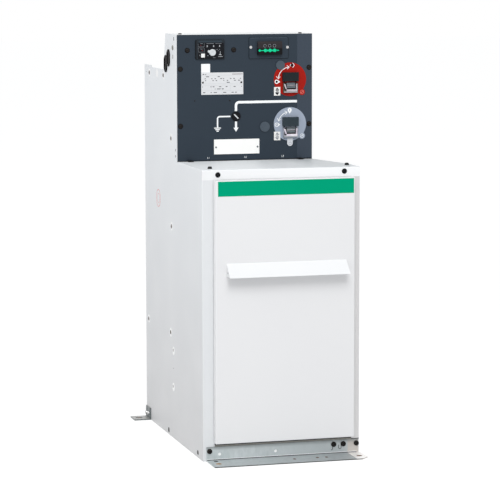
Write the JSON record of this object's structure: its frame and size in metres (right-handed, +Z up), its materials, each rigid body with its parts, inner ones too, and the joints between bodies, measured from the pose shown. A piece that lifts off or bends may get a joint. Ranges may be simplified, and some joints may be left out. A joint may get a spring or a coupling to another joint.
{
  "type": "gas-insulated switchgear unit",
  "caption": "Floor-standing gas-insulated switchgear cabinet with a lift-off cable cover, a flat deck and a dark control panel with sliding shutters and a position indicator.",
  "frame": {"origin": "on the floor, at the centre of the outline of the feet and the cabinet", "axes": "+X to the right as seen from the front, +Y to the rear, +Z up; the control panel faces -Y"},
  "size_m": [0.496, 0.758, 1.142],
  "materials": {
    "white_paint": "light texture powder coat",
    "cover_paint": "light texture powder coat",
    "frame_paint": "semi-gloss paint",
    "galvanised": "galvanised, faint spangle",
    "stainless": "brushed",
    "panel_blue_grey": "matt print",
    "shutter_grey": "matt",
    "bright_zinc": "bright zinc",
    "black_plastic": "matt",
    "white_plastic": "satin",
    "signal_red": "matt print",
    "pale_violet_grey": "matt print",
    "green_plastic": "satin",
    "plate_blue_grey": "satin print",
    "plate_light_grey": "satin print",
    "black_steel": "black oxide",
    "black_rubber": "matt"
  },
  "bodies": {
    "cabinet": {"side_panel_left": "white_paint", "side_panel_right": "white_paint", "upper_side_right": "white_paint", "rear_panel": "white_paint", "side_ledge": "white_paint", "top_cover": "frame_paint", "control_rear_cover": "frame_paint", "deck_plate": "frame_paint", "front_foot": "galvanised", "rear_bracket_left": "galvanised", "rear_bracket_right": "galvanised", "rear_beam": "galvanised", "front_beam": "galvanised", "gas_tank": "stainless", "control_fascia": "panel_blue_grey", "blank_caps": "panel_blue_grey", "earth_hasp": "bright_zinc", "switch_hasp": "bright_zinc", "operating_shafts": "bright_zinc", "mechanism_case": "bright_zinc", "relay_module": "black_plastic", "voltage_module": "black_plastic", "relay_button": "white_plastic", "mode_plates": "white_plastic", "label_plate": "white_plastic", "earth_disc": "signal_red", "badges": "signal_red", "switch_disc": "pale_violet_grey", "voltage_strip": "green_plastic", "voltage_plate": "plate_blue_grey", "nameplate": "plate_light_grey", "fascia_screws": "black_steel", "foot_bolts": "black_steel", "grommets": "black_rubber"},
    "cover": {"cable_cover": "cover_paint", "cover_hooks": "galvanised", "cover_handle": "cover_paint"},
    "indicator": {"position_indicator": "black_plastic", "position_bar": "white_plastic"},
    "earth_access": {"earth_shutter": "shutter_grey"},
    "switch_access": {"switch_shutter": "shutter_grey"},
    "dial": {"relay_dial": "white_plastic"}
  },
  "joints": [
    {"name": "cable_cover_lift", "type": "slide", "parent": "cabinet", "child": "cover", "axis": [0, 0, 1], "range_m": [0, 0.02]},
    {"name": "position_indicator_turn", "type": "hinge", "parent": "cabinet", "child": "indicator", "pos_m": [-0.03, -0.02, 0.9143], "axis": [0, 1, 0], "range_deg": [-45, 45]},
    {"name": "earth_shutter_slide", "type": "slide", "parent": "cabinet", "child": "earth_access", "axis": [0, 0, -1], "range_m": [0, 0.022]},
    {"name": "switch_shutter_slide", "type": "slide", "parent": "cabinet", "child": "switch_access", "axis": [0, 0, -1], "range_m": [0, 0.022]},
    {"name": "relay_dial_turn", "type": "hinge", "parent": "cabinet", "child": "dial", "pos_m": [-0.0978, -0.022, 1.0926], "axis": [0, 1, 0], "range_deg": [-30, 120]}
  ]
}
